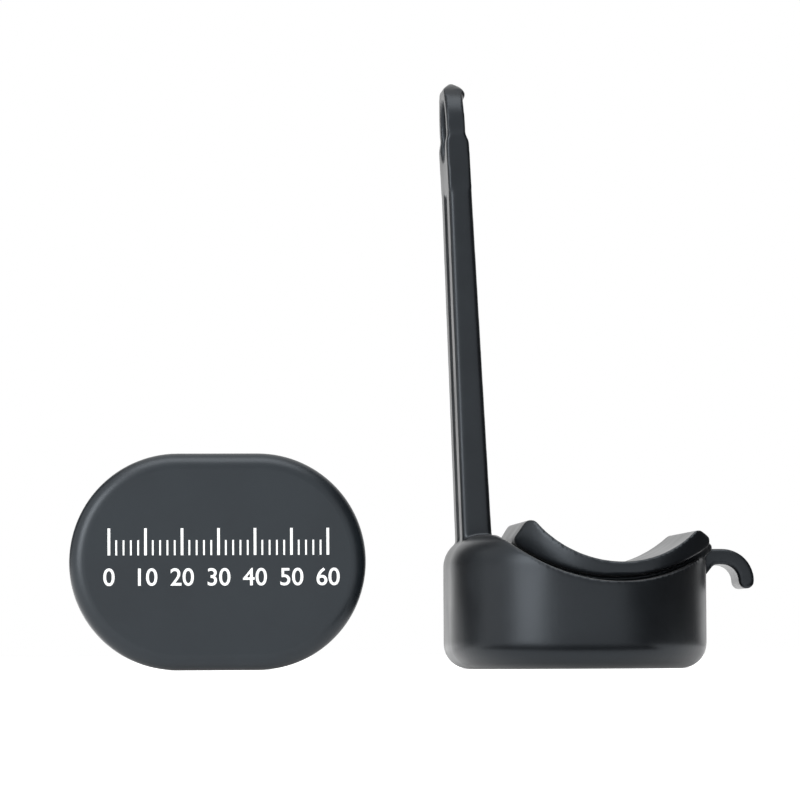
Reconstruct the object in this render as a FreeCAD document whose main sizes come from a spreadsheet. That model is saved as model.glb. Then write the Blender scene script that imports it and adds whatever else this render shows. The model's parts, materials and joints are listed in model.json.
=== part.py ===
import FreeCAD, Part
import math
import os
import Sketcher

# Wheel-speed sensor for a bicycle computer, with the silicone hub mount that carries it.
#
# Frame: millimetres, +Z up, origin on the surface that both pieces stand on, under the
# middle of their common box. X runs from the sensor pod (left) to the mount (right) and
# Y runs away from the pod's face, along the hub's axis.
#
# The pod stands on its long straight edge, face towards -Y. The mount stands on the rim of
# its sensor pocket, with the hub saddle, the strap and the hook up.

doc = FreeCAD.newDocument("speed_sensor")
sheet = doc.addObject("Spreadsheet::Sheet", "sizes")

SIZES = {
    # pod: a stadium in plan, two shells round a coin cell
    "pod_straight": 10.1,        # length of its straight edges
    "pod_thick": 8.4,
    "bench_gap": 10.5,           # free space between pod and mount as laid out
    "shell_wall": 1.5,
    "face_wall": 1.2,
    "face_round": 2.0,
    "back_round": 1.1,
    "split_height": 5.6,         # parting line of the shells, from the back
    "tongue_wall": 0.7,
    "tongue_depth": 0.8,
    "tongue_gap": 0.05,
    # battery door: a coin-slot disc with bayonet lugs
    "door_rim": 1.4,             # how far the door reaches past the cell
    "door_wall": 2.15,           # what is left of the pod outside the door's bore
    "door_thick": 1.5,
    "door_gap": 0.15,
    "door_turn": 30,             # degrees from locked to free
    "lug_reach": 0.6,
    "lug_width": 4,
    "lug_thick": 0.7,
    "lug_height": 0.7,
    "lug_count": 3,
    "coin_slot_long": 13,
    "coin_slot_wide": 1.9,
    "coin_slot_deep": 0.8,
    "seal_section": 0.7,         # diameter of the O-ring's cord
    "seal_inset": 0.45,          # from the door's edge to the cord's middle
    # CR2032 coin cell
    "cell_radius": 10,
    "cell_height": 3.2,
    "can_height": 2.9,
    "can_wall": 0.3,
    "cap_depth": 1.1,
    "gasket_wall": 0.8,
    "gasket_height": 0.85,
    "cell_gap": 0.35,            # round the cell, in its well
    "cell_float": 0.1,           # between cell and door
    # contacts
    "contact_room": 0.4,         # from the cell up to the board
    "contact_strip": 0.18,
    "contact_width": 3,
    "contact_gap": 0.05,
    "leaf_base": 6,
    "leaf_reach": 5,
    "clip_drop": 2.4,
    "clip_foot": 2,
    "notch_gap": 0.4,
    # circuit board and its screws
    "board_thick": 0.8,
    "board_gap": 0.3,
    "post_inset": 4.05,          # from the pod's end to the screw's middle
    "post_radius": 1.7,
    "screw_radius": 0.6,
    "screw_length": 3,
    "screw_head_radius": 1.3,
    "screw_head_height": 0.55,
    "thread_gap": 0.02,
    "hole_gap": 0.25,
    # parts on the board: place from the pod's middle, then size
    "radio_chip_x": 2.5,
    "radio_chip_y": 1.5,
    "radio_chip_long": 5,
    "radio_chip_wide": 5,
    "radio_chip_tall": 0.85,
    "motion_sensor_x": -5,
    "motion_sensor_y": -4,
    "motion_sensor_long": 3,
    "motion_sensor_wide": 3,
    "motion_sensor_tall": 0.9,
    "regulator_chip_x": -8,
    "regulator_chip_y": 4.5,
    "regulator_chip_long": 2,
    "regulator_chip_wide": 1.6,
    "regulator_chip_tall": 0.6,
    "antenna_chip_x": 10.5,
    "antenna_chip_y": 5.5,
    "antenna_chip_long": 7,
    "antenna_chip_wide": 2,
    "antenna_chip_tall": 0.8,
    "status_led_x": -11,
    "status_led_y": -1.5,
    "status_led_long": 1.6,
    "status_led_wide": 0.8,
    "status_led_tall": 0.6,
    "crystal_x": 3.5,
    "crystal_y": -4.5,
    "crystal_long": 3.2,
    "crystal_wide": 1.5,
    "crystal_tall": 0.8,
    "crystal_pitch": 2.6,
    "capacitor_x": -2.5,
    "capacitor_y": 6.8,
    "capacitor_long": 1,
    "capacitor_wide": 0.5,
    "capacitor_tall": 0.5,
    "capacitor_pitch": 1.5,
    "resistor_x": 9,
    "resistor_y": -3.5,
    "resistor_long": 0.6,
    "resistor_wide": 1,
    "resistor_tall": 0.35,
    "resistor_pitch": 1.3,
    # mount: the sleeve that grips the pod
    "sleeve_gap": 0.15,
    "sleeve_wall": 2.35,
    "sleeve_top": 16.8,
    "lip_height": 1,
    "lip_reach": 1.2,
    "foot_round": 3.2,
    "top_round": 3.8,
    # mount: the hub saddle
    "saddle_radius": 13.4,
    "saddle_x": 4.5,             # from the sleeve's middle
    "saddle_axis": 26.7,         # height of the hub's axis
    "saddle_deep": 16.5,         # half, along the hub
    "saddle_half": 17,           # half, across the hub
    "saddle_left": 33.5,         # degrees below level at which each rim ends
    "saddle_right": 43.3,
    "saddle_round": 0.9,
    # the flatter hollow in the sleeve's top, and the saddle's underside above it
    "hollow_radius": 21.1,
    "hollow_x": 3.8,
    "hollow_low": 10.8,          # height of its lowest line
    "crease": 0.65,              # between the saddle's rim and the sleeve
    "under_left": 51.5,          # degrees below level at which the underside ends
    "under_right": 51.5,
    "neck_inset": 1.6,           # how far the foot under the saddle stands back
    "neck_short": 2.5,           # degrees
    "bond": 0.3,                 # how deep one feature of a moulding sinks in another
    # mount: the hook that the strap's eye is pulled over
    "hook_x": 18.65,
    "hook_height": 11,
    "hook_inner": 2.1,
    "hook_thick": 2,
    "hook_wide": 7.4,
    "hook_end": 0,               # degrees below level at which the claw ends
    "hook_root": 3.3,            # how far its gusset runs down the sleeve
    # mount: the strap
    "strap_x": -10.9,            # its hub-side face, at the foot
    "strap_foot": 16.5,
    "strap_lean": 3,             # degrees, away from the hub
    "strap_wide": 11.8,
    "strap_thick": 3.8,
    "strap_thin": 2.8,
    "strap_round": 0.7,
    "strap_stub": 1.5,
    "strap_pitch": 8.6,
    "strap_sink": 4,
    "channel_wide": 4,
    "channel_deep": 0.3,
    "eye_centre": 52.4,          # along the strap, from the foot
    "eye_radius": 6,
    "eye_hole": 3.6,
    "eye_stretch": 0.8,
    "eye_shoulder": 51.4,
    "shoulder_rise": 1,
    "eye_inner_step": 0.4,
    "eye_outer_step": 0.25,
    "tip_slope": 0.9,
    "bead_radius": 0.85,
    "bead_long": 7.2,
    "bead_drop": 1.8,
}
LINKS = 5

for line, (alias, number) in enumerate(SIZES.items(), start=1):
    sheet.set(f"A{line}", alias)
    sheet.set(f"B{line}", str(number))
    sheet.setAlias(f"B{line}", alias)
doc.recompute()


# ---------------------------------------------------------------- named relations

POD_RADIUS = "(sizes.cell_radius + sizes.door_rim + sizes.door_gap + sizes.door_wall)"
STRAIGHT = "sizes.pod_straight"
POD_LONG = f"({STRAIGHT} + 2 * {POD_RADIUS})"
INNER_RADIUS = f"({POD_RADIUS} - sizes.shell_wall)"
SLEEVE_RADIUS = f"({POD_RADIUS} + sizes.sleeve_gap + sizes.sleeve_wall)"
HOOK_REACH = "(sizes.hook_x + sizes.hook_inner + sizes.hook_thick)"
HOLLOW_AXIS = "(sizes.hollow_low + sizes.hollow_radius)"
UNDER_RADIUS = "(sizes.hollow_radius - sizes.crease)"
SPAN = f"({POD_LONG} + sizes.bench_gap + {SLEEVE_RADIUS} + {HOOK_REACH})"
POD_X = f"({POD_LONG} / 2 - {SPAN} / 2)"
MOUNT_X = f"({SPAN} / 2 - {HOOK_REACH})"
WELL_RADIUS = "(sizes.cell_radius + sizes.cell_gap)"
CAP_SEAT = "(sizes.cell_radius - sizes.can_wall)"
CAP_RADIUS = f"({CAP_SEAT} - sizes.gasket_wall)"
DOOR_RADIUS = "(sizes.cell_radius + sizes.door_rim)"
BORE_RADIUS = f"({DOOR_RADIUS} + sizes.door_gap)"
LUG_RADIUS = f"({DOOR_RADIUS} + sizes.lug_reach)"
POST_X = f"({POD_LONG} / 2 - sizes.post_inset)"
SEAL_SEAT = "(sizes.door_thick + sizes.seal_section)"
CELL_Z = "(sizes.door_thick + sizes.cell_float)"
CELL_TOP = f"({CELL_Z} + sizes.cell_height)"
BOARD_Z = f"({CELL_TOP} + sizes.contact_room)"
BOARD_TOP = f"({BOARD_Z} + sizes.board_thick)"


def worked_out(expression):
    return float(sheet.evalExpression(expression))


def vector(x, y):
    return FreeCAD.Vector(x, y, 0)


# ---------------------------------------------------------------- sketch helpers

def new_body(label):
    body = doc.addObject("PartDesign::Body", label)
    body.Label = label
    return body


def new_sketch(body, name, role="XY_Plane", lift="0"):
    sketch = body.newObject("Sketcher::SketchObject", name)
    plane = next(part for part in body.Origin.OriginFeatures if part.Role == role)
    sketch.AttachmentSupport = [(plane, "")]
    sketch.MapMode = "FlatFace"
    sketch.setExpression("AttachmentOffset.Base.z", lift)
    return sketch


def bind(sketch, constraint, name, expression):
    number = sketch.addConstraint(constraint)
    sketch.renameConstraint(number, name)
    sketch.setExpression(f"Constraints.{name}", expression)


def add_circle(sketch, name, radius, x="0", y="0"):
    """A circle whose centre and radius follow the sheet."""
    centre = vector(worked_out(x), worked_out(y))
    reach = worked_out(radius)
    edge = sketch.addGeometry(Part.Circle(centre, FreeCAD.Vector(0, 0, 1), reach))
    bind(sketch, Sketcher.Constraint("Radius", edge, reach), f"{name}_radius", radius)
    pin_point(sketch, edge, 3, name, x, y)
    return edge


def hold_at(sketch, kind, edge, end, name, expression):
    """Hold one point of an edge at a DistanceX or DistanceY from the sketch's origin."""
    constraint = Sketcher.Constraint(kind, -1, 1, edge, end, worked_out(expression))
    bind(sketch, constraint, name, expression)


def pin_point(sketch, edge, end, name, x, y):
    hold_at(sketch, "DistanceX", edge, end, f"{name}_x", x)
    hold_at(sketch, "DistanceY", edge, end, f"{name}_y", y)


def add_stadium(sketch, name, radius, straight=STRAIGHT, along="x"):
    """Two half circles and two lines, centred on the sketch's origin."""
    reach = worked_out(radius)
    half = worked_out(straight) / 2
    turn = 0 if along == "x" else math.pi / 2
    ahead = vector(math.cos(turn), math.sin(turn))
    side = vector(-math.sin(turn), math.cos(turn))
    normal = FreeCAD.Vector(0, 0, 1)

    def cap(centre, start):
        circle = Part.Circle(centre, normal, reach)
        return sketch.addGeometry(Part.ArcOfCircle(circle, start, start + math.pi))

    first = cap(ahead * half, turn - math.pi / 2)
    upper = sketch.addGeometry(
        Part.LineSegment(ahead * half + side * reach, side * reach - ahead * half))
    second = cap(ahead * -half, turn + math.pi / 2)
    lower = sketch.addGeometry(
        Part.LineSegment(side * -reach - ahead * half, ahead * half - side * reach))
    for one, other in ((first, upper), (upper, second), (second, lower), (lower, first)):
        sketch.addConstraint(Sketcher.Constraint("Tangent", one, 2, other, 1))
    sketch.addConstraint(Sketcher.Constraint("Equal", first, second))
    sketch.addConstraint(Sketcher.Constraint("Symmetric", first, 3, second, 3, -1, 1))
    axis, kind = (-1, "DistanceX") if along == "x" else (-2, "DistanceY")
    sketch.addConstraint(Sketcher.Constraint("PointOnObject", first, 3, axis))
    bind(sketch, Sketcher.Constraint("Radius", first, reach), f"{name}_radius", radius)
    length = Sketcher.Constraint(kind, second, 3, first, 3, 2 * half)
    bind(sketch, length, f"{name}_straight", straight)


def add_outline(sketch, name, corners):
    """A closed run of lines through corners, each a pair of expressions."""
    places = [vector(worked_out(x), worked_out(y)) for x, y in corners]
    edges = []
    for place, following in zip(places, places[1:] + places[:1]):
        edges.append(sketch.addGeometry(Part.LineSegment(place, following)))
    for edge, following in zip(edges, edges[1:] + edges[:1]):
        sketch.addConstraint(Sketcher.Constraint("Coincident", edge, 2, following, 1))
    for number, (edge, (x, y)) in enumerate(zip(edges, corners)):
        pin_point(sketch, edge, 1, f"{name}{number}", x, y)


def add_rectangle(sketch, name, x_low, x_high, y_low, y_high):
    add_outline(sketch, name, [(x_low, y_low), (x_high, y_low), (x_high, y_high), (x_low, y_high)])


def pad(body, sketch, length, reverse=False, both=False):
    feature = body.newObject("PartDesign::Pad", f"pad_{sketch.Name}")
    return grow(feature, sketch, length, reverse, both)


def pocket(body, sketch, length, reverse=False, both=False):
    """Cut, and stop if nothing was cut away."""
    doc.recompute()
    before = body.Shape.Volume
    feature = body.newObject("PartDesign::Pocket", f"pocket_{sketch.Name}")
    grow(feature, sketch, length, reverse, both)
    if body.Shape.Volume >= before:
        raise RuntimeError(f"{feature.Name} cuts nothing")
    return feature


def grow(feature, sketch, length, reverse, both):
    feature.Profile = sketch
    feature.setExpression("Length", length)
    feature.Reversed = reverse
    if both:
        feature.SideType = "Symmetric"
    doc.recompute()
    return feature


def ring_of(body, feature, sketch, count):
    """Repeat a feature round its sketch's normal."""
    pattern = body.newObject("PartDesign::PolarPattern", f"ring_{feature.Name}")
    pattern.Originals = [feature]
    pattern.Axis = (sketch, ["N_Axis"])
    pattern.Angle = 360
    pattern.setExpression("Occurrences", count)
    body.Tip = pattern
    doc.recompute()


def round_edges(body, name, radius, chosen, kind="Fillet"):
    """Fillet or chamfer the edges of the body for which chosen(edge) is true."""
    doc.recompute()
    names = []
    for number, edge in enumerate(body.Shape.Edges, start=1):
        if chosen(edge):
            names.append(f"Edge{number}")
    if not names:
        raise RuntimeError(f"{name} found no edge")
    base = body.Tip
    feature = body.newObject(f"PartDesign::{kind}", name)
    feature.Base = (base, names)
    feature.setExpression("Radius" if kind == "Fillet" else "Size", radius)
    body.Tip = feature
    doc.recompute()


def lies_flat_at(height):
    """True for edges that lie in the level plane at the height."""
    def chosen(edge):
        box = edge.BoundBox
        return abs(box.ZMin - height) < 1e-4 and abs(box.ZMax - height) < 1e-4
    return chosen


# ---------------------------------------------------------------- placing

def in_pod(thing, x="0", y="0", depth="0"):
    """Pod pieces are drawn lying on their back: x along the pod, y up, depth to the face."""
    thing.Placement = FreeCAD.Placement(
        FreeCAD.Vector(0, 0, 0), FreeCAD.Rotation(FreeCAD.Vector(1, 0, 0), 90))
    thing.setExpression(".Placement.Base.x", f"{POD_X} + {x}")
    thing.setExpression(".Placement.Base.y", f"sizes.pod_thick / 2 - {depth}")
    thing.setExpression(".Placement.Base.z", f"{POD_RADIUS} + {y}")
    return thing


def in_mount(thing):
    thing.setExpression(".Placement.Base.x", MOUNT_X)
    return thing


def on_strap(thing, shift="0"):
    """Strap pieces are drawn upright, hub-side face at x = 0, foot at z = 0."""
    thing.Placement = FreeCAD.Placement(
        FreeCAD.Vector(0, 0, 0),
        FreeCAD.Rotation(FreeCAD.Vector(0, 1, 0), -worked_out("sizes.strap_lean")))
    thing.setExpression(".Placement.Base.x", f"{shift} + sizes.strap_x")
    thing.setExpression(".Placement.Base.z", "sizes.strap_foot")
    return thing


# ---------------------------------------------------------------- pod: the shells

def make_back_shell():
    """Tray with the cell's well, the door's bayonet bore and two screw posts."""
    body = new_body("back_shell")
    outer = new_sketch(body, "back_outer")
    add_stadium(outer, "outer", POD_RADIUS)
    pad(body, outer, "sizes.split_height")
    round_edges(body, "back_edge", "sizes.back_round", lies_flat_at(0))

    room = new_sketch(body, "back_room", lift="sizes.split_height")
    add_stadium(room, "room", INNER_RADIUS)
    pocket(body, room, "sizes.split_height - sizes.door_thick")

    tongue = new_sketch(body, "back_tongue", lift="sizes.split_height")
    add_stadium(tongue, "tongue_out", f"{INNER_RADIUS} + sizes.tongue_wall")
    add_stadium(tongue, "tongue_in", INNER_RADIUS)
    pad(body, tongue, "sizes.tongue_depth")

    well = new_sketch(body, "cell_well", lift="sizes.door_thick")
    add_circle(well, "well_out", INNER_RADIUS)
    pad(body, well, f"{BOARD_Z} - sizes.door_thick")
    for side in (-1, 1):
        post = new_sketch(body, f"post_{side + 1}", lift="sizes.door_thick")
        add_circle(post, "post", "sizes.post_radius", x=f"{side} * {POST_X}")
        pad(body, post, f"{BOARD_Z} - sizes.door_thick")

    well_bore = new_sketch(body, "well_bore", lift=BOARD_Z)
    add_circle(well_bore, "well", WELL_RADIUS)
    pocket(body, well_bore, BOARD_Z)
    door_bore = new_sketch(body, "door_bore")
    add_circle(door_bore, "bore", BORE_RADIUS)
    pocket(body, door_bore, SEAL_SEAT, reverse=True)
    groove = new_sketch(body, "bayonet_groove", lift="sizes.lug_height - sizes.door_gap / 3")
    add_circle(groove, "groove", f"{LUG_RADIUS} + sizes.door_gap")
    pocket(body, groove, "sizes.lug_thick + sizes.door_gap * 2 / 3", reverse=True)

    pilots = new_sketch(body, "pilots", lift=BOARD_Z)
    for side in (-1, 1):
        add_circle(pilots, f"pilot{side + 1}", "sizes.screw_radius + sizes.thread_gap",
                   x=f"{side} * {POST_X}")
    pocket(body, pilots, "sizes.screw_length + sizes.hole_gap")

    notch = new_sketch(body, "clip_notch", lift=BOARD_Z)
    half = "(sizes.contact_width / 2 + sizes.notch_gap)"
    foot_end = "(sizes.cell_radius + sizes.contact_gap + sizes.clip_foot)"
    add_rectangle(notch, "notch", "sizes.cell_radius / 2", f"{foot_end} + sizes.notch_gap",
                  f"-{half}", half)
    pocket(body, notch, "sizes.clip_drop + sizes.notch_gap")

    # Each lug enters through its own slot, at the angle where the door is free.
    entry = new_sketch(body, "lug_entry")
    free = -worked_out("sizes.door_turn")
    entry.AttachmentOffset = FreeCAD.Placement(
        FreeCAD.Vector(0, 0, 0), FreeCAD.Rotation(FreeCAD.Vector(0, 0, 1), free))
    slot_half = "(sizes.lug_width / 2 + sizes.door_gap)"
    add_rectangle(entry, "entry", f"-{slot_half}", slot_half, "sizes.cell_radius",
                  f"{LUG_RADIUS} + sizes.door_gap / 2")
    cut = pocket(body, entry, "sizes.lug_height", reverse=True)
    ring_of(body, cut, entry, "sizes.lug_count")
    return in_pod(body)


def make_face_shell():
    """Cap with the soft-edged face, rebated over the tray's tongue."""
    body = new_body("face_shell")
    outer = new_sketch(body, "face_outer", lift="sizes.split_height")
    add_stadium(outer, "outer", POD_RADIUS)
    pad(body, outer, "sizes.pod_thick - sizes.split_height")
    top = worked_out("sizes.pod_thick")
    round_edges(body, "face_edge", "sizes.face_round", lies_flat_at(top))

    room = new_sketch(body, "face_room", lift="sizes.split_height")
    add_stadium(room, "room", INNER_RADIUS)
    pocket(body, room, "sizes.pod_thick - sizes.face_wall - sizes.split_height", reverse=True)
    rebate = new_sketch(body, "face_rebate", lift="sizes.split_height")
    add_stadium(rebate, "rebate", f"{INNER_RADIUS} + sizes.tongue_wall + sizes.tongue_gap")
    pocket(body, rebate, "sizes.tongue_depth + sizes.tongue_gap", reverse=True)
    return in_pod(body)


# ---------------------------------------------------------------- pod: door, seal and cell

def make_battery_door():
    body = new_body("battery_door")
    disc = new_sketch(body, "door_disc")
    add_circle(disc, "disc", DOOR_RADIUS)
    pad(body, disc, "sizes.door_thick")
    round_edges(body, "door_edge", "sizes.door_gap", lies_flat_at(0), kind="Chamfer")

    slot = new_sketch(body, "coin_slot")
    add_rectangle(slot, "slot", "-sizes.coin_slot_long / 2", "sizes.coin_slot_long / 2",
                  "-sizes.coin_slot_wide / 2", "sizes.coin_slot_wide / 2")
    pocket(body, slot, "sizes.coin_slot_deep", reverse=True)

    lug = new_sketch(body, "door_lug", lift="sizes.lug_height")
    # The lug's far corners stay on the lug circle.
    reach = f"sqrt({LUG_RADIUS} ^ 2 - (sizes.lug_width / 2) ^ 2)"
    add_rectangle(lug, "lug", "-sizes.lug_width / 2", "sizes.lug_width / 2",
                  "sizes.cell_radius", reach)
    lug_pad = pad(body, lug, "sizes.lug_thick")
    ring_of(body, lug_pad, lug, "sizes.lug_count")
    return in_pod(body)


def make_door_oring():
    ring = doc.addObject("Part::Torus", "door_oring")
    ring.setExpression("Radius1", f"{DOOR_RADIUS} - sizes.seal_inset")
    ring.setExpression("Radius2", "sizes.seal_section / 2")
    return in_pod(ring, depth="(sizes.door_thick + sizes.seal_section / 2)")


def make_cell_can():
    body = new_body("coin_cell_can")
    outer = new_sketch(body, "can_outer", lift=CELL_Z)
    add_circle(outer, "can", "sizes.cell_radius")
    pad(body, outer, "sizes.can_height")
    mouth = new_sketch(body, "can_mouth", lift=f"{CELL_Z} + sizes.can_height")
    add_circle(mouth, "mouth", CAP_SEAT)
    pocket(body, mouth, "sizes.can_height - (sizes.cell_height - sizes.cap_depth)")
    bottom = worked_out(CELL_Z)
    round_edges(body, "can_edge", "sizes.cell_float * 2", lies_flat_at(bottom))
    return in_pod(body)


def make_cell_cap():
    body = new_body("coin_cell_cap")
    disc = new_sketch(body, "cap_disc", lift=f"{CELL_TOP} - sizes.cap_depth")
    add_circle(disc, "cap", CAP_RADIUS)
    pad(body, disc, "sizes.cap_depth")
    round_edges(body, "cap_edge", "sizes.cell_float * 2", lies_flat_at(worked_out(CELL_TOP)))
    return in_pod(body)


def make_cell_gasket():
    body = new_body("coin_cell_gasket")
    ring = new_sketch(body, "gasket_ring", lift=f"{CELL_TOP} - sizes.cap_depth")
    add_circle(ring, "gasket_out", CAP_SEAT)
    add_circle(ring, "gasket_in", CAP_RADIUS)
    pad(body, ring, "sizes.gasket_height")
    return in_pod(body)


# ---------------------------------------------------------------- pod: contacts and board

def make_negative_contact():
    """Leaf under the board, pressed down on the cell's cap."""
    body = new_body("negative_contact")
    leaf = new_sketch(body, "leaf", role="XZ_Plane")
    base = "sizes.leaf_base / 2"
    tip = f"({base} + sizes.leaf_reach)"
    low = f"({CELL_TOP} + sizes.contact_gap)"
    add_outline(leaf, "leaf", [
        (f"-{base}", BOARD_Z), (base, BOARD_Z), (tip, f"{low} + sizes.contact_strip"),
        (tip, low), (base, f"{BOARD_Z} - sizes.contact_strip"),
        (f"-{base}", f"{BOARD_Z} - sizes.contact_strip")])
    pad(body, leaf, "sizes.contact_width", both=True)
    return in_pod(body)


def make_positive_contact():
    """Clip beside the cell, with its foot under the board."""
    body = new_body("positive_contact")
    clip = new_sketch(body, "clip", role="XZ_Plane")
    near = "(sizes.cell_radius + sizes.contact_gap)"
    far = f"({near} + sizes.contact_strip)"
    end = f"({near} + sizes.clip_foot)"
    add_outline(clip, "clip", [
        (near, BOARD_Z), (end, BOARD_Z), (end, f"{BOARD_Z} - sizes.contact_strip"),
        (far, f"{BOARD_Z} - sizes.contact_strip"), (far, f"{BOARD_Z} - sizes.clip_drop"),
        (near, f"{BOARD_Z} - sizes.clip_drop")])
    pad(body, clip, "sizes.contact_width", both=True)
    return in_pod(body)


def make_circuit_board():
    body = new_body("circuit_board")
    outline = new_sketch(body, "board_outline", lift=BOARD_Z)
    add_stadium(outline, "board", f"{INNER_RADIUS} - sizes.board_gap")
    for side in (-1, 1):
        add_circle(outline, f"hole{side + 1}", "sizes.screw_radius + sizes.hole_gap",
                   x=f"{side} * {POST_X}")
    pad(body, outline, "sizes.board_thick")
    return in_pod(body)


def add_cylinder(name, radius, height, x, depth):
    cylinder = doc.addObject("Part::Cylinder", name)
    cylinder.setExpression("Radius", radius)
    cylinder.setExpression("Height", height)
    cylinder.setExpression(".Placement.Base.x", x)
    cylinder.setExpression(".Placement.Base.z", depth)
    return cylinder


def make_board_screws():
    """Two pan-head screws that hold the board on its posts."""
    screws = []
    for side in (-1, 1):
        x = f"{side} * {POST_X}"
        head = add_cylinder(f"head_{side + 1}", "sizes.screw_head_radius",
                            "sizes.screw_head_height", x, BOARD_TOP)
        shank = add_cylinder(f"shank_{side + 1}", "sizes.screw_radius",
                             "sizes.screw_length + sizes.board_thick", x,
                             f"{BOARD_Z} - sizes.screw_length")
        screw = doc.addObject("Part::Fuse", f"screw_{side + 1}")
        screw.Base = head
        screw.Tool = shank
        screws.append(screw)
    return in_pod(group_of("board_screws", screws))


def group_of(label, members):
    group = doc.addObject("Part::Compound", label)
    group.Links = members
    doc.recompute()
    return group


def chip_box(name, kind, x, y):
    """A box that stands on the board, centred at (x, y)."""
    box = doc.addObject("Part::Box", name)
    box.setExpression("Length", f"sizes.{kind}_long")
    box.setExpression("Width", f"sizes.{kind}_wide")
    box.setExpression("Height", f"sizes.{kind}_tall")
    box.setExpression(".Placement.Base.x", f"{x} - sizes.{kind}_long / 2")
    box.setExpression(".Placement.Base.y", f"{y} - sizes.{kind}_wide / 2")
    box.setExpression(".Placement.Base.z", BOARD_TOP)
    return box


def make_chip(kind):
    box = chip_box(f"{kind}_box", kind, f"sizes.{kind}_x", f"sizes.{kind}_y")
    return in_pod(group_of(kind, [box]))


def make_chip_row(label, kind, count, step_x, step_y):
    """A group of equal parts, stepped along the board by the kind's own pitch."""
    boxes = []
    for number in range(count):
        x = f"sizes.{kind}_x + {number * step_x} * sizes.{kind}_pitch"
        y = f"sizes.{kind}_y + {number * step_y} * sizes.{kind}_pitch"
        boxes.append(chip_box(f"{kind}_{number}", kind, x, y))
    return in_pod(group_of(label, boxes))


# ---------------------------------------------------------------- mount: cradle

def make_sleeve():
    """The cup that grips the pod, open downwards, hollowed above for the hub."""
    body = new_body("sleeve")
    outer = new_sketch(body, "sleeve_outer")
    add_stadium(outer, "outer", SLEEVE_RADIUS, along="y")
    pad(body, outer, "sizes.sleeve_top")
    round_edges(body, "foot_edge", "sizes.foot_round", lies_flat_at(0))
    top = worked_out("sizes.sleeve_top")
    round_edges(body, "top_edge", "sizes.top_round", lies_flat_at(top))

    relief = new_sketch(body, "hub_relief", role="XZ_Plane")
    add_circle(relief, "relief", "sizes.hollow_radius", x="sizes.hollow_x", y=HOLLOW_AXIS)
    pocket(body, relief, f"{POD_LONG} * 2", both=True)

    room = new_sketch(body, "sensor_pocket", lift="sizes.lip_height")
    add_stadium(room, "room", f"{POD_RADIUS} + sizes.sleeve_gap", along="y")
    pocket(body, room, "sizes.pod_thick + sizes.sleeve_gap", reverse=True)
    mouth = new_sketch(body, "pocket_mouth")
    add_stadium(mouth, "mouth", f"{POD_RADIUS} - sizes.lip_reach", along="y")
    pocket(body, mouth, "sizes.lip_height", reverse=True)
    return body


def hold_on_arc(sketch, edge, end, name, x, z, radius, angle):
    """Hold a point of an arc about (x, z) by the coordinate that changes faster there."""
    if abs(math.sin(math.radians(worked_out(angle)))) > math.sqrt(0.5):
        hold_at(sketch, "DistanceX", edge, end, name, f"{x} + {radius} * cos({angle})")
    else:
        hold_at(sketch, "DistanceY", edge, end, name, f"{z} + {radius} * sin({angle})")


def add_arc(sketch, name, x, z, radius, start, end):
    """An arc about (x, z), anticlockwise from the angle start to the angle end."""
    reach = worked_out(radius)
    centre = vector(worked_out(x), worked_out(z))
    circle = Part.Circle(centre, FreeCAD.Vector(0, 0, 1), reach)
    angles = [math.radians(worked_out(angle)) for angle in (start, end)]
    edge = sketch.addGeometry(Part.ArcOfCircle(circle, *angles))
    pin_point(sketch, edge, 3, name, x, z)
    bind(sketch, Sketcher.Constraint("Radius", edge, reach), f"{name}_radius", radius)
    hold_on_arc(sketch, edge, 1, f"{name}_start", x, z, radius, start)
    hold_on_arc(sketch, edge, 2, f"{name}_end", x, z, radius, end)
    return edge


def add_round_end(sketch, name, x, z, radius, thick, angle, first, second):
    """A half circle that closes a bent bar at an angle, from one (edge, end) to another."""
    turn = math.radians(worked_out(angle))
    reach = worked_out(radius)
    middle = vector(worked_out(x) + reach * math.cos(turn), worked_out(z) + reach * math.sin(turn))
    circle = Part.Circle(middle, FreeCAD.Vector(0, 0, 1), worked_out(thick) / 2)
    begin = turn if first[1] == 2 else turn - math.pi
    cap = sketch.addGeometry(Part.ArcOfCircle(circle, begin, begin + math.pi))
    for number, (edge, end) in enumerate((first, second), start=1):
        sketch.addConstraint(Sketcher.Constraint("Coincident", cap, number, edge, end))
    hold_on_arc(sketch, cap, 3, name, x, z, radius, angle)
    return cap


def oval_in_plan(name, body, inset):
    """What an oval column about the hub's middle leaves of a bar."""
    oval = doc.addObject("Part::Ellipse", f"{name}_oval")
    oval.setExpression("MajorRadius", f"sizes.saddle_half - {inset}")
    oval.setExpression("MinorRadius", f"sizes.saddle_deep - {inset}")
    oval.setExpression(".Placement.Base.x", "sizes.saddle_x")
    column = doc.addObject("Part::Extrusion", f"{name}_column")
    column.Base = oval
    column.DirMode = "Custom"
    column.Dir = FreeCAD.Vector(0, 0, 1)
    column.Solid = True
    column.setExpression("LengthFwd", "sizes.saddle_axis")
    shaped = doc.addObject("Part::Common", name)
    shaped.Base = body
    shaped.Tool = column
    doc.recompute()
    return shaped


def end_of(sketch, edge, end):
    arc = sketch.Geometry[edge]
    return arc.StartPoint if end == 1 else arc.EndPoint


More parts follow.
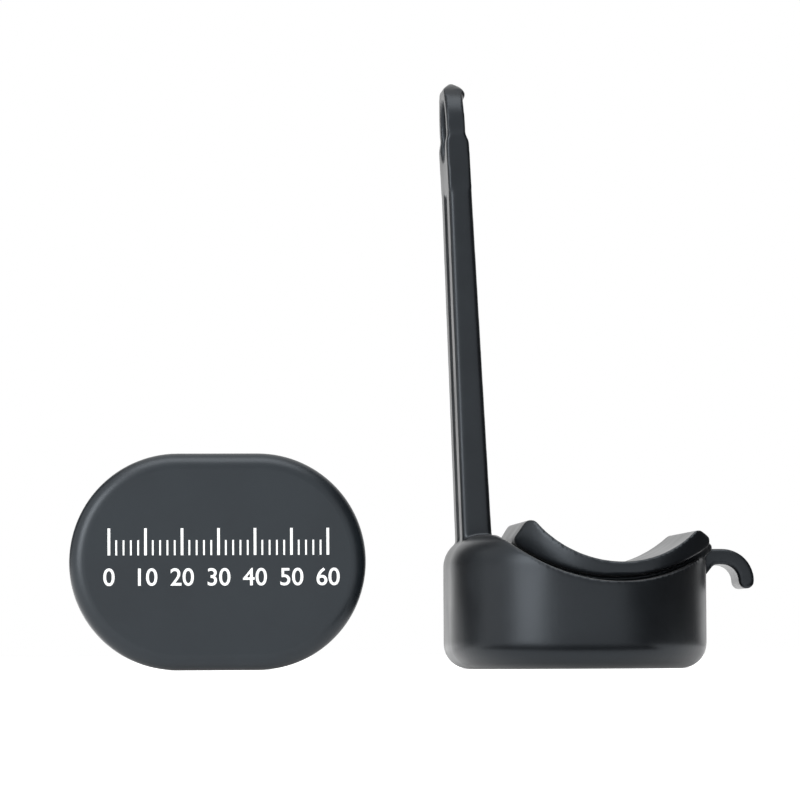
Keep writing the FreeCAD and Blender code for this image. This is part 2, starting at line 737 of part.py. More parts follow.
def make_saddle():
    """The pad that the hub lies on: round above, flatter below, thick at both rims."""
    body = new_body("saddle_bar")
    bar = new_sketch(body, "saddle_section", role="XZ_Plane")
    seat = add_arc(bar, "seat", "sizes.saddle_x", "sizes.saddle_axis", "sizes.saddle_radius",
                   "(180 + sizes.saddle_left)", "(360 - sizes.saddle_right)")
    under = add_arc(bar, "under", "sizes.hollow_x", HOLLOW_AXIS, UNDER_RADIUS,
                    "(180 + sizes.under_left)", "(360 - sizes.under_right)")
    for end in (1, 2):
        corners = [end_of(bar, edge, end) for edge in (seat, under)]
        rim = bar.addGeometry(Part.LineSegment(*corners))
        bar.addConstraint(Sketcher.Constraint("Coincident", rim, 1, seat, end))
        bar.addConstraint(Sketcher.Constraint("Coincident", rim, 2, under, end))
    pad(body, bar, "sizes.saddle_deep * 2", both=True)

    def runs_across(edge):
        return edge.BoundBox.YLength > worked_out("sizes.saddle_deep")

    round_edges(body, "saddle_rims", "sizes.saddle_round", runs_across)
    return oval_in_plan("saddle", body, "0")


def make_saddle_neck():
    """The foot under the saddle, narrower all round, which leaves a crease under the rim."""
    body = new_body("neck_bar")
    bar = new_sketch(body, "neck_section", role="XZ_Plane")
    hollow = ("sizes.hollow_x", HOLLOW_AXIS)
    inner = f"({UNDER_RADIUS} - sizes.bond)"
    outer = "(sizes.hollow_radius + sizes.bond)"
    left = "(180 + sizes.under_left + sizes.neck_short)"
    right = "(360 - sizes.under_right - sizes.neck_short)"
    upper = add_arc(bar, "upper", *hollow, inner, left, right)
    lower = add_arc(bar, "lower", *hollow, outer, left, right)
    middle = f"(({inner} + {outer}) / 2)"
    thick = f"({outer} - {inner})"
    add_round_end(bar, "left", *hollow, middle, thick, left, (upper, 1), (lower, 1))
    add_round_end(bar, "right", *hollow, middle, thick, right, (lower, 2), (upper, 2))
    pad(body, bar, "sizes.saddle_deep * 2", both=True)
    return oval_in_plan("saddle_neck", body, "sizes.neck_inset")


def make_hook():
    """The claw beside the hub, with its root thickened down the sleeve's wall."""
    body = new_body("hook")
    section = new_sketch(body, "hook_section", role="XZ_Plane")
    top = "(sizes.hook_height + sizes.hook_inner + sizes.hook_thick)"
    low = "(sizes.hook_height + sizes.hook_inner)"
    inside = f"({SLEEVE_RADIUS} - sizes.sleeve_wall / 2)"
    corner = "(sizes.hook_x - sizes.hook_inner / 2)"
    deep = f"({low} - sizes.hook_root)"

    bend = ("sizes.hook_x", "sizes.hook_height")
    end = "(-sizes.hook_end)"
    inner = add_arc(section, "inner", *bend, "sizes.hook_inner", end, "90")
    outer = add_arc(section, "outer", *bend, "(sizes.hook_inner + sizes.hook_thick)", end, "90")
    middle = "(sizes.hook_inner + sizes.hook_thick / 2)"
    add_round_end(section, "tip", *bend, middle, "sizes.hook_thick", end, (inner, 1), (outer, 1))

    # From the inner bend back under the arm, down the gusset, up the wall and out again.
    corners = [("sizes.hook_x", low), (corner, low), (inside, deep), (inside, top),
               ("sizes.hook_x", top)]
    places = [vector(worked_out(x), worked_out(z)) for x, z in corners]
    lines = [section.addGeometry(Part.LineSegment(*pair)) for pair in zip(places, places[1:])]
    ends = [(inner, 2)] + [(line, 2) for line in lines]
    starts = [(line, 1) for line in lines] + [(outer, 2)]
    for one, other in zip(ends, starts):
        section.addConstraint(Sketcher.Constraint("Coincident", *one, *other))
    for number, (line, (x, z)) in enumerate(zip(lines[1:], corners[1:]), start=1):
        pin_point(section, line, 1, f"arm{number}", x, z)
    pad(body, section, "sizes.hook_wide", both=True)
    return body


def thickness_at(distance):
    """The strap's thickness, tapering evenly from foot to eye."""
    share = f"({distance}) / (sizes.eye_centre)"
    return f"(sizes.strap_thick - (sizes.strap_thick - sizes.strap_thin) * {share})"


def make_strap_length(label, start, end):
    """One length of the strap, with the shallow channel down its outer face."""
    body = new_body(label)
    thick_start = thickness_at(start)
    thick_end = thickness_at(end)
    section = new_sketch(body, f"{label}_side", role="XZ_Plane")
    add_outline(section, "side", [
        ("0", start), ("0", end), (f"-{thick_end}", end), (f"-{thick_start}", start)])
    pad(body, section, "sizes.strap_wide", both=True)

    def runs_along(edge):
        box = edge.BoundBox
        return box.ZLength > worked_out(f"{end} - {start}") / 2

    round_edges(body, f"{label}_edges", "sizes.strap_round", runs_along)
    channel = new_sketch(body, f"{label}_channel", role="XZ_Plane")
    add_outline(channel, "channel", [
        (f"-{thick_start} + sizes.channel_deep", start),
        (f"-{thick_end} + sizes.channel_deep", end),
        (f"-{thick_end} - sizes.bond", end), (f"-{thick_start} - sizes.bond", start)])
    pocket(body, channel, "sizes.channel_wide", both=True)
    return body


def joint_height(number):
    """How far along the strap the bend with this number is, from 1 at the foot."""
    return f"(sizes.strap_stub + {number - 1} * sizes.strap_pitch)"


def make_hub_cradle():
    """One silicone moulding: sleeve, saddle, hook and the strap's root."""
    stub = on_strap(make_strap_length("strap_root", "-sizes.strap_sink", joint_height(1)))
    cradle = doc.addObject("Part::MultiFuse", "hub_cradle")
    cradle.Shapes = [make_sleeve(), make_saddle(), make_saddle_neck(), make_hook(), stub]
    cradle.Refine = True
    doc.recompute()
    return in_mount(cradle)


def make_strap_eye():
    """The strap's end: an eye with a thinned rim, pulled over the hook in use."""
    body = new_body("strap_eye")
    start = joint_height(LINKS + 1)
    thick = thickness_at(start)
    top = "(sizes.eye_centre + sizes.eye_radius)"
    half = "(sizes.strap_wide / 2)"
    plate = new_sketch(body, "eye_plate", role="YZ_Plane")
    add_rectangle(plate, "plate", f"-{half}", half, start, "sizes.eye_centre")
    pad(body, plate, thick, reverse=True)
    disc = new_sketch(body, "eye_disc", role="YZ_Plane")
    add_circle(disc, "eye", "sizes.eye_radius", y="sizes.eye_centre")
    pad(body, disc, thick, reverse=True)

    hole = new_sketch(body, "eye_hole", role="YZ_Plane")
    hole_half = "(sizes.eye_stretch / 2)"
    add_circle(hole, "hole", "sizes.eye_hole", y=f"sizes.eye_centre + {hole_half}")
    pocket(body, hole, thick)
    throat = new_sketch(body, "eye_throat", role="YZ_Plane")
    add_circle(throat, "throat", "sizes.eye_hole", y=f"sizes.eye_centre - {hole_half}")
    pocket(body, throat, thick)

    inner = "-sizes.eye_inner_step"
    outer = f"(sizes.eye_outer_step - {thick})"
    middle = f"(({inner} + {outer}) / 2)"
    foot = "(sizes.eye_shoulder - sizes.shoulder_rise)"
    slope = f"({top} - sizes.tip_slope)"
    above = f"({top} + sizes.tip_slope)"
    clear = "sizes.strap_thick"
    for tag, face, side, way in (("inner", inner, "0", 1), ("outer", outer, f"-{thick}", -1)):
        step = new_sketch(body, f"eye_step_{tag}", role="XZ_Plane")
        out = f"{way} * {clear} - {thick} / 2"
        add_outline(step, "step", [
            (side, foot), (face, "sizes.eye_shoulder"), (face, slope), (middle, top),
            (middle, above), (out, above), (out, foot)])
        pocket(body, step, "sizes.strap_wide * 2", both=True)

    bead = new_sketch(body, "eye_bead", role="XZ_Plane")
    add_circle(bead, "bead", "sizes.bead_radius", x=f"{inner} - sizes.bead_radius / 2",
               y=f"{top} - sizes.bead_drop")
    pad(body, bead, "sizes.bead_long", both=True)
    return on_strap(body, MOUNT_X)


# ---------------------------------------------------------------- the whole object

def make_all():
    parts = [
        make_back_shell(),
        make_face_shell(),
        make_battery_door(),
        make_door_oring(),
        make_cell_can(),
        make_cell_gasket(),
        make_cell_cap(),
        make_negative_contact(),
        make_positive_contact(),
        make_circuit_board(),
        make_board_screws(),
        make_chip("radio_chip"),
        make_chip("motion_sensor"),
        make_chip("regulator_chip"),
        make_chip("antenna_chip"),
        make_chip("status_led"),
        make_chip_row("crystals", "crystal", 2, 0, -1),
        make_chip_row("capacitors", "capacitor", 6, 1, 0),
        make_chip_row("resistors", "resistor", 4, 1, 0),
        make_hub_cradle(),
    ]
    for number in range(1, LINKS + 1):
        length = make_strap_length(
            f"strap_link_{number}", joint_height(number), joint_height(number + 1))
        parts.append(on_strap(length, MOUNT_X))
    parts.append(make_strap_eye())
    return parts


def check_document():
    for thing in doc.Objects:
        if "Invalid" in thing.State or "Error" in thing.State:
            raise RuntimeError(f"{thing.Name} is {thing.State}")


def write_steps(parts):
    os.makedirs("parts", exist_ok=True)
    for part in parts:
        shape = part.Shape
        if shape.isNull() or not shape.isValid() or not shape.Solids:
            raise RuntimeError(f"{part.Label} has no sound solid")
    for part in parts:
        part.Shape.exportStep(f"parts/{part.Label}.step")
        box = part.Shape.BoundBox
        print(f"{part.Label}: {len(part.Shape.Solids)} solid(s), {part.Shape.Volume:.1f} mm3, "
              f"x {box.XMin:.2f} {box.XMax:.2f} y {box.YMin:.2f} {box.YMax:.2f} "
              f"z {box.ZMin:.2f} {box.ZMax:.2f}")


sub_parts = make_all()
doc.recompute()
check_document()
write_steps(sub_parts)
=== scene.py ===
# %% [markdown]
# # A wheel-speed sensor and its silicone hub mount
# Two loose things lie side by side. The first is a sealed, pill-shaped pod of black plastic
# that counts the turns of a bicycle wheel. The second is the mount that holds it: one piece
# of soft black silicone, with a cup for the pod, a saddle for the hub, a strap and a hook.
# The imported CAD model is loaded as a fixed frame, and this lesson dresses it.

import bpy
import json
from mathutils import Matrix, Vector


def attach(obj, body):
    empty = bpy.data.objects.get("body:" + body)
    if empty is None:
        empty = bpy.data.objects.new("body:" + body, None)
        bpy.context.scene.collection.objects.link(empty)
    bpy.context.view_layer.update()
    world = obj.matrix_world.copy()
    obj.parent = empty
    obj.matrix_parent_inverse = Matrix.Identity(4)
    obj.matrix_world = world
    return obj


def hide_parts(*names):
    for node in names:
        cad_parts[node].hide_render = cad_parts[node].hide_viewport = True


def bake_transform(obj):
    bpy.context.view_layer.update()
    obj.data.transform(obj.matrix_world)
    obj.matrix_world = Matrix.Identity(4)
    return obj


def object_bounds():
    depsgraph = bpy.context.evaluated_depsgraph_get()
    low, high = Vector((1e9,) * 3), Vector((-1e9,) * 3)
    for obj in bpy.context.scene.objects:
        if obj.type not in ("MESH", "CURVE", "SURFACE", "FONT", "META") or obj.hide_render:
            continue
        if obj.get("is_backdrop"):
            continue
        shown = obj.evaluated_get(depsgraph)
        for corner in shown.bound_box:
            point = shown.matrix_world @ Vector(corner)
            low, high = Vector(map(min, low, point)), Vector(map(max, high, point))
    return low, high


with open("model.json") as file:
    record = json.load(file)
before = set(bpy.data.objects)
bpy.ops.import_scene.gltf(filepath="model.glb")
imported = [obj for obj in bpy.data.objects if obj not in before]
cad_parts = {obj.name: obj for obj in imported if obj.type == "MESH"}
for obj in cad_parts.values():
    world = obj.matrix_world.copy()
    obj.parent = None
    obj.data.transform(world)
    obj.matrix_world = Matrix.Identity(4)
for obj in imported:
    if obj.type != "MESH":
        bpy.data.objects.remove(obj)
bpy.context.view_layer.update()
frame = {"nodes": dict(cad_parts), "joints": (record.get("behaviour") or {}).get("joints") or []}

# %% [markdown]
# ## Small tools
# Everything is in metres, and the part is small, so sizes are written in millimetres times MM.
# Colours are written as they look on a screen, as sRGB hex, while Blender works with linear
# light, so one function turns them over. Another one adds a node, sets what is even, and links
# what varies, so that a material reads from its pattern down to its shader.

# %% Units, colours and nodes
import json
import math

import bmesh
import bpy
from mathutils import Matrix, Vector

MM = 0.001


def linear(hex_colour):
    """An sRGB hex colour such as #3C4246 as linear RGBA."""
    parts = [int(hex_colour[at:at + 2], 16) / 255 for at in (1, 3, 5)]
    return [p / 12.92 if p <= 0.04045 else ((p + 0.055) / 1.055) ** 2.4 for p in parts] + [1]


def add_node(owner, kind, settings=None, stops=None, **links):
    """Add a node, set its properties and sockets, and link what is given as (node, output).

    stops are the places and hex colours of a colour ramp.
    """
    tree = owner.node_tree
    node = tree.nodes.new(kind)
    for name, value in (settings or {}).items():
        if name in node.inputs:
            node.inputs[name].default_value = value
        else:
            setattr(node, name, value)
    for number, (place, colour) in enumerate(stops or []):
        node.color_ramp.elements[number].position = place
        node.color_ramp.elements[number].color = linear(colour)
    for name, (source, output) in links.items():
        tree.links.new(source.outputs[output], node.inputs[name.replace("_", " ")])
    return node


def new_material(name):
    """A node material with nothing in it yet."""
    material = bpy.data.materials.new(name)
    material.use_nodes = True
    material.node_tree.nodes.clear()
    return material


print("the black ABS's #13171B is", [round(value, 4) for value in linear("#13171B")])

# %% [markdown]
# ## From a pattern to a finish
# No moulded surface is one flat colour. A pattern with a real size shifts the colour between
# two close tones, changes the gloss a little and raises the surface by a few thousandths of a
# millimetre. Patterns work in the object's own coordinates, in metres, so a feature of a given
# size needs a scale of one over that size. Most of a noise's values lie between 0.3 and 0.7,
# and that middle range is spread over the two tones.

# %% Pattern helpers
NOISE_RANGE = (0.3, 0.7)


def per_size(size_mm):
    """Noise scale that gives features of about this size."""
    return 1 / (size_mm * MM)


def finish_with(material, colour, gloss, bump=None, **even):
    """Close a material with one Principled shader, fed by patterns given as (node, output).

    colour is a pattern with its darkest and lightest tone, gloss one with the least and the
    most roughness, and bump one with its depth in mm. What is the same all over is set on the
    shader's own sockets.
    """
    source, dark, light = colour
    tone = add_node(material, "ShaderNodeValToRGB", Fac=source,
                    stops=zip(NOISE_RANGE, (dark, light)))
    source, least, most = gloss
    rough = add_node(material, "ShaderNodeMapRange",
                     {"From Min": NOISE_RANGE[0], "From Max": NOISE_RANGE[1],
                      "To Min": least, "To Max": most}, Value=source)
    varied = {"Base_Color": (tone, "Color"), "Roughness": (rough, "Result")}
    if bump:
        source, depth_mm = bump
        relief = add_node(material, "ShaderNodeBump", {"Distance": depth_mm * MM}, Height=source)
        varied["Normal"] = (relief, "Normal")
    shader = add_node(material, "ShaderNodeBsdfPrincipled",
                      {name.replace("_", " "): value for name, value in even.items()}, **varied)
    add_node(material, "ShaderNodeOutputMaterial", Surface=(shader, "BSDF"))
    return material


print("features of 6 mm need a noise scale of", round(per_size(6), 1))

# %% [markdown]
# ## Silicone of the mount
# The mount is compression-moulded black silicone rubber, about as hard as a pencil eraser. The
# tool's polished faces leave a satin skin: nearly black underneath, with a broad, soft
# highlight that grows strong at a grazing angle. Handling leaves faint dull clouds some
# millimetres wide. Silicone's IOR is about 1.41, and 1.42 is set. A roughness round 0.32 and a
# slightly cool tint of the reflection give the blue-grey sheen of clean silicone, and a trace
# of sheen stands for dust.


# %% Black silicone
def make_silicone():
    material = new_material("black_silicone_moulded")
    place = add_node(material, "ShaderNodeTexCoord")
    clouds = add_node(material, "ShaderNodeTexNoise", {"Scale": per_size(6), "Detail": 3},
                      Vector=(place, "Object"))
    # the real skin's grain is a few hundredths of a millimetre, and is drawn coarser to show
    skin = add_node(material, "ShaderNodeTexNoise", {"Scale": per_size(0.25), "Detail": 2},
                    Vector=(place, "Object"))
    return finish_with(material, colour=((clouds, "Fac"), "#0A0C0F", "#0F1215"),
                       gloss=((clouds, "Fac"), 0.28, 0.36), bump=((skin, "Fac"), 0.004),
                       IOR=1.42, Specular_Tint=linear("#E6F0FA"),
                       Sheen_Weight=0.04, Sheen_Roughness=0.5)


silicone = make_silicone()
print("made", silicone.name)

# %% [markdown]
# ## Plastic of the pod
# The pod is injection-moulded black ABS from a tool with a fine spark-eroded face. The grain is
# a few hundredths of a millimetre, which gives a satin face with a soft reflection and no
# mirror image. ABS has an IOR of about 1.53. A little less, 1.48, and a roughness round 0.37
# keep the big flat face as quiet as the real one under a white room.


# %% Black ABS
def make_abs():
    material = new_material("black_ABS_moulded")
    place = add_node(material, "ShaderNodeTexCoord")
    clouds = add_node(material, "ShaderNodeTexNoise", {"Scale": per_size(9), "Detail": 3},
                      Vector=(place, "Object"))
    # the eroded grain, drawn about three times as coarse as it is
    pits = add_node(material, "ShaderNodeTexNoise", {"Scale": per_size(0.12), "Detail": 2},
                    Vector=(place, "Object"))
    return finish_with(material, colour=((clouds, "Fac"), "#13171B", "#171C20"),
                       gloss=((pits, "Fac"), 0.32, 0.42), bump=((pits, "Fac"), 0.003),
                       IOR=1.48, Specular_Tint=linear("#EAF2FA"))


abs_plastic = make_abs()
print("made", abs_plastic.name)

# %% [markdown]
# ## Metals inside the pod
# The cell, the contacts and the screws are sealed in, and they still get their real finishes.
# The cell's can is drawn from nickel-plated steel and brushed, which gives bright, slightly
# warm streaks. The contacts are punched from phosphor bronze strip, a dull gold. The screws are
# zinc-plated steel, cooler and duller. A metal has its colour in its reflection.

# %% Metals
BRUSH_LENGTH = 12        # times the width of a brush line


def make_metal(name, dark, light, rough_low, rough_high, brush_mm):
    """A brushed metal. Brushing is noise pulled long in one direction."""
    material = new_material(name)
    place = add_node(material, "ShaderNodeTexCoord")
    pulled = add_node(material, "ShaderNodeMapping", {"Scale": (1, 1, BRUSH_LENGTH)},
                      Vector=(place, "Object"))
    lines = add_node(material, "ShaderNodeTexNoise",
                     {"Scale": per_size(brush_mm * BRUSH_LENGTH), "Detail": 4},
                     Vector=(pulled, "Vector"))
    return finish_with(material, colour=((lines, "Fac"), dark, light),
                       gloss=((lines, "Fac"), rough_low, rough_high), Metallic=1.0)


nickel_steel = make_metal("nickel_plated_steel_brushed",
                          "#B9BBBD", "#D2D3D2", 0.22, 0.34, brush_mm=0.05)
bronze = make_metal("phosphor_bronze_strip", "#B08A55", "#CDA873", 0.25, 0.38, brush_mm=0.06)
zinc_steel = make_metal("zinc_plated_screw_steel",
                        "#A9ADB0", "#C6C9CB", 0.28, 0.42, brush_mm=0.08)
print("made", nickel_steel.name, bronze.name, zinc_steel.name)

# %% [markdown]
# ## The board and what is on it
# The board is glass-fibre laminate under green solder resist: where copper runs below, the
# resist is lighter and stands a little higher, which a brick pattern with 2.4 mm cells draws
# as tracks. The chips are moulded from dull, dark epoxy, and the small parts are fired alumina,
# chalky and off-white. The light has a body of clear amber resin that glows from within. The
# seal is matt nitrile rubber, and the cell's gasket is waxy grey nylon.


# %% Board and small parts
def make_speckled(name, dark, light, grain_mm, rough_low, rough_high, **even):
    """A moulded or fired material with an even fine speckle."""
    material = new_material(name)
    place = add_node(material, "ShaderNodeTexCoord")
    speck = add_node(material, "ShaderNodeTexNoise",
                     {"Scale": per_size(grain_mm), "Detail": 4}, Vector=(place, "Object"))
    return finish_with(material, colour=((speck, "Fac"), dark, light),
                       gloss=((speck, "Fac"), rough_low, rough_high),
                       bump=((speck, "Fac"), 0.004), **even)


def make_board():
    material = new_material("glass_epoxy_board_green_resist")
    place = add_node(material, "ShaderNodeTexCoord")
    tracks = add_node(material, "ShaderNodeTexBrick",
                      {"Scale": per_size(2.4), "Mortar Size": 0.06, "Mortar Smooth": 0.4,
                       "Color1": linear("#123D27"), "Color2": linear("#15472D"),
                       "Mortar": linear("#2C6B45")}, Vector=(place, "Object"))
    rough = add_node(material, "ShaderNodeMapRange", {"To Min": 0.32, "To Max": 0.24},
                     Value=(tracks, "Fac"))
    raised = add_node(material, "ShaderNodeBump", {"Distance": 0.03 * MM},
                      Height=(tracks, "Fac"))
    shader = add_node(material, "ShaderNodeBsdfPrincipled", {"IOR": 1.55},
                      Base_Color=(tracks, "Color"), Roughness=(rough, "Result"),
                      Normal=(raised, "Normal"))
    add_node(material, "ShaderNodeOutputMaterial", Surface=(shader, "BSDF"))
    return material


board_green = make_board()
epoxy = make_speckled("epoxy_moulding_compound", "#17181A", "#242628", 0.08, 0.5, 0.65)
ceramic = make_speckled("alumina_ceramic_fired", "#C9C2B4", "#DDD8CC", 0.1, 0.45, 0.6)
led_resin = make_speckled("clear_amber_resin", "#D9B45A", "#E9CC80", 0.3, 0.12, 0.2,
                          Transmission_Weight=0.5, IOR=1.52)
nitrile = make_speckled("nitrile_rubber_O_ring", "#141414", "#1D1D1D", 0.2, 0.5, 0.6)
nylon = make_speckled("natural_nylon_gasket", "#8E8C86", "#A5A39C", 0.2, 0.4, 0.5)
print("made", board_green.name, "and the finishes of the small parts")

# %% [markdown]
# ## Dress the CAD nodes whose shape is right
# The shells, the door and everything inside are rigid moulded or machined parts. Their CAD
# shapes are already exact, so they stay, and each gets its finish in its material slots.

# %% Finishes of the CAD nodes
FINISHES = {
    abs_plastic: ["back_shell", "face_shell", "battery_door"],
    nitrile: ["door_oring"],
    nickel_steel: ["coin_cell_can", "coin_cell_cap"],
    nylon: ["coin_cell_gasket"],
    bronze: ["negative_contact", "positive_contact"],
    board_green: ["circuit_board"],
    zinc_steel: ["board_screws"],
    epoxy: ["radio_chip", "motion_sensor", "regulator_chip"],
    ceramic: ["antenna_chip", "crystals", "capacitors", "resistors"],
    led_resin: ["status_led"],
}
for finish, nodes in FINISHES.items():
    for node in nodes:
        slots = frame["nodes"][node].data.materials
        slots.clear()
        slots.append(finish)
print("dressed", sum(len(nodes) for nodes in FINISHES.values()), "CAD nodes")

# %% [markdown]
# ## The scale on the pod's face
# The pod's face carries a white pad print, a film of two-part ink some hundredths of a
# millimetre thick, which dries to a matt, even white. Here it is a plain speed scale: a row of
# ticks with a number under each long one. Numbers are made from the built-in font as thin
# meshes, and each tick is a small box, so the print has a real thickness and sits just proud
# of the face.

# %% Ticks and numbers
FACE_Y = -4.2 * MM       # the pod's face
INK = 0.03 * MM          # how far the film stands out of the face


def settled(thing):
    """The mesh as its modifiers leave it, as a new mesh with no modifiers."""
    bpy.context.view_layer.update()
    graph = bpy.context.evaluated_depsgraph_get()
    return bpy.data.meshes.new_from_object(thing.evaluated_get(graph))


def add_number(film, text, x, z, size):
    """Add a number, centred on x, with its foot at z, as faces that look toward -Y."""
    curve = bpy.data.curves.new("number", "FONT")
    curve.body = text
    curve.size = size
    curve.align_x = "CENTER"
    curve.extrude = INK
    curve.offset = 0.008 * size      # a slightly bolder stroke, as ink spreads
    shape = bpy.data.objects.new("number", curve)
    bpy.context.scene.collection.objects.link(shape)
    mesh = settled(shape)
    mesh.transform(Matrix.Translation((x, FACE_Y, z)) @ Matrix.Rotation(math.pi / 2, 4, "X"))
    film.from_mesh(mesh)
    bpy.data.objects.remove(shape)
    bpy.data.curves.remove(curve)
    bpy.data.meshes.remove(mesh)


def add_tick(film, x, foot, tall, wide):
    """Add a tick, centred on x, that stands on its foot."""
    box = bmesh.ops.create_cube(film, size=1.0)["verts"]
    for vertex in box:
        vertex.co = Vector((x + vertex.co.x * wide, FACE_Y + vertex.co.y * 2 * INK,
                            foot + (vertex.co.z + 0.5) * tall))


print("the film stands", INK / MM, "mm out of the face at y =", FACE_Y / MM, "mm")

# %% Pad-printed scale
SCALE_MIDDLE = Vector((-24.7 * MM, FACE_Y, 13.9 * MM))
TICKS = 31
TICK_PITCH = 0.92 * MM
NUMBERED = 5                       # every fifth tick is long and has a number
SPEED_STEP = 2                     # from one tick to the next
LONG_TICK = (3.4 * MM, 0.34 * MM)  # height and width
SHORT_TICK = (1.9 * MM, 0.22 * MM)
TICK_FOOT = 0.6 * MM               # above the scale's middle
NUMBER_FOOT = -3.2 * MM
NUMBER_SIZE = 3.1 * MM


def make_face_scale(ink):
    film = bmesh.new()
    for step in range(TICKS):
        x = SCALE_MIDDLE.x + (step - (TICKS - 1) / 2) * TICK_PITCH
        long_one = step % NUMBERED == 0
        add_tick(film, x, SCALE_MIDDLE.z + TICK_FOOT, *(LONG_TICK if long_one else SHORT_TICK))
        if long_one:
            add_number(film, str(step * SPEED_STEP), x, SCALE_MIDDLE.z + NUMBER_FOOT, NUMBER_SIZE)
    mesh = bpy.data.meshes.new("face_scale")
    film.to_mesh(mesh)
    film.free()
    scale = bpy.data.objects.new("face_scale", mesh)
    bpy.context.scene.collection.objects.link(scale)
    mesh.materials.append(ink)
    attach(scale, "pod")
    return scale


white_ink = make_speckled("white_pad_printing_ink", "#E2E4E4", "#EDEFEF", 0.3, 0.45, 0.55)
face_scale = make_face_scale(white_ink)
print("face_scale has", len(face_scale.data.polygons), "faces")

# %% [markdown]
# ## The mount as one moulding
# The real mount has no seams: cup, saddle, hook and strap flow into each other with soft
# fillets. CAD holds it as a cradle and six strap lengths. They could be dressed one by one, but
# their seams would show. So copies of those solids are joined here, turned into one skin by a
# voxel remesh, and smoothed, which rounds every edge and every inner corner by a few tenths of
# a millimetre, as a silicone tool does. The skin is far finer than it has to be once it is
# smooth, so it is thinned out at the end.

# %% Join copies of the solids
OVERLAP = 0.012          # how much longer each strap length gets, as a share
strap_nodes = [name for name in frame["nodes"] if name.startswith("strap_")]


def overlapped(mesh, share):
    """A copy that is a little longer about its own middle, so that neighbours overlap."""
    copy = bmesh.new()
    copy.from_mesh(mesh)
    low = Vector(min(v.co[axis] for v in copy.verts) for axis in range(3))
    high = Vector(max(v.co[axis] for v in copy.verts) for axis in range(3))
    middle = (low + high) / 2
    for vertex in copy.verts:
        vertex.co.z = middle.z + (vertex.co.z - middle.z) * (1 + share)
    return copy


def joined_solids():
    whole = bmesh.new()
    whole.from_mesh(frame["nodes"]["hub_cradle"].data)
    for name in strap_nodes:
        piece = overlapped(frame["nodes"][name].data, OVERLAP)
        mesh = bpy.data.meshes.new("length")
        piece.to_mesh(mesh)
        whole.from_mesh(mesh)
        piece.free()
        bpy.data.meshes.remove(mesh)
    mesh = bpy.data.meshes.new("moulding")
    whole.to_mesh(mesh)
    whole.free()
    return mesh


moulding = bpy.data.objects.new("moulding", joined_solids())
bpy.context.scene.collection.objects.link(moulding)
print("joined the cradle and", len(strap_nodes), "strap lengths")

# %% One soft skin
VOXEL = 0.22 * MM        # a third of the crease under the saddle, which stays open
SOFTENING = 9            # rounds of smoothing
KEPT_SHARE = 0.55        # of the triangles, once the skin is smooth

skin = moulding.modifiers.new("skin", "REMESH")
skin.mode = "VOXEL"
skin.voxel_size = VOXEL
soften = moulding.modifiers.new("soften", "SMOOTH")
soften.factor = 0.5
soften.iterations = SOFTENING
thin_out = moulding.modifiers.new("thin_out", "DECIMATE")
thin_out.ratio = KEPT_SHARE
whole_skin = settled(moulding)
bpy.data.objects.remove(moulding)
print("one skin of", len(whole_skin.polygons), "faces")

# %% [markdown]
# ## Cut the strap between its hinges
# The strap is one skin that has to follow six hinges. It is cut half-way between hinges, where
# it always moves with one body, into one piece for each hinge. The pieces meet along the same
# cut, so no gap opens. The first one carries the whole cradle.

bends = [joint for joint in frame["joints"] if joint["name"].startswith("strap_bend_")]
hinges = [Vector(joint["pos_m"]) for joint in bends]
along = (hinges[-1] - hinges[0]).normalized()
pitch = (hinges[1] - hinges[0]).length
cuts = [hinge + along * pitch / 2 for hinge in hinges[:-1]]
print(len(hinges), "hinges, one each", round(pitch / MM, 2), "mm")


# %% Cut the skin into pieces
def cut_from(mesh, name, low=None, high=None):
    """The part of a mesh between two cuts across the strap, as a new object."""
    part = bmesh.new()
    part.from_mesh(mesh)
    for point, side in ((low, 1), (high, -1)):
        if point is not None:
            everything = part.verts[:] + part.edges[:] + part.faces[:]
            bmesh.ops.bisect_plane(part, geom=everything, plane_co=point,
                                   plane_no=along * -side, clear_outer=True)
    for face in part.faces:
        face.smooth = True
    made = bpy.data.meshes.new(name)
    part.to_mesh(made)
    part.free()
    thing = bpy.data.objects.new(name, made)
    bpy.context.scene.collection.objects.link(thing)
    made.materials.append(silicone)
    return thing


edges = [None] + cuts + [None]
for number, joint in enumerate(bends):
    name = "cradle_moulding" if number == 0 else f"strap_bend_{number + 1}_skin"
    piece = cut_from(whole_skin, name, edges[number], edges[number + 1])
    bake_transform(piece)
    stood_for = "hub_cradle" if number == 0 else f"strap_link_{number}"
    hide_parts(stood_for)
    print(name, len(piece.data.polygons), "faces")
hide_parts("strap_eye")      # the last piece runs on to the eye
bpy.data.meshes.remove(whole_skin)

# %% [markdown]
# ## Table and room
# The floor is a plain white table in a white room. Cameras and mirrors see both as paper
# white, through Light Path, while the light that falls on things stays at a plain level, so
# that the black finishes render about as they are written.

# %% Table and room
SHOWN_WHITE = 0.45       # added to the table where it is looked at; a strength of 1 is white
ROOM_LIGHT = 0.75        # what the room gives to things, where it looks like 1
TABLE_REACH = 4.0        # metres, each way from the middle
TABLE_DROP = 0.02 * MM   # below the lowest point


def seen_directly(owner):
    """1 for camera, mirror and glass rays, 0 for the light that falls on things."""
    path = add_node(owner, "ShaderNodeLightPath")
    seen = path.outputs["Is Camera Ray"]
    for kind in ("Is Glossy Ray", "Is Transmission Ray"):
        either = add_node(owner, "ShaderNodeMath", {"operation": "MAXIMUM"})
        owner.node_tree.links.new(seen, either.inputs[0])
        owner.node_tree.links.new(path.outputs[kind], either.inputs[1])
        seen = either.outputs[0]
    return either


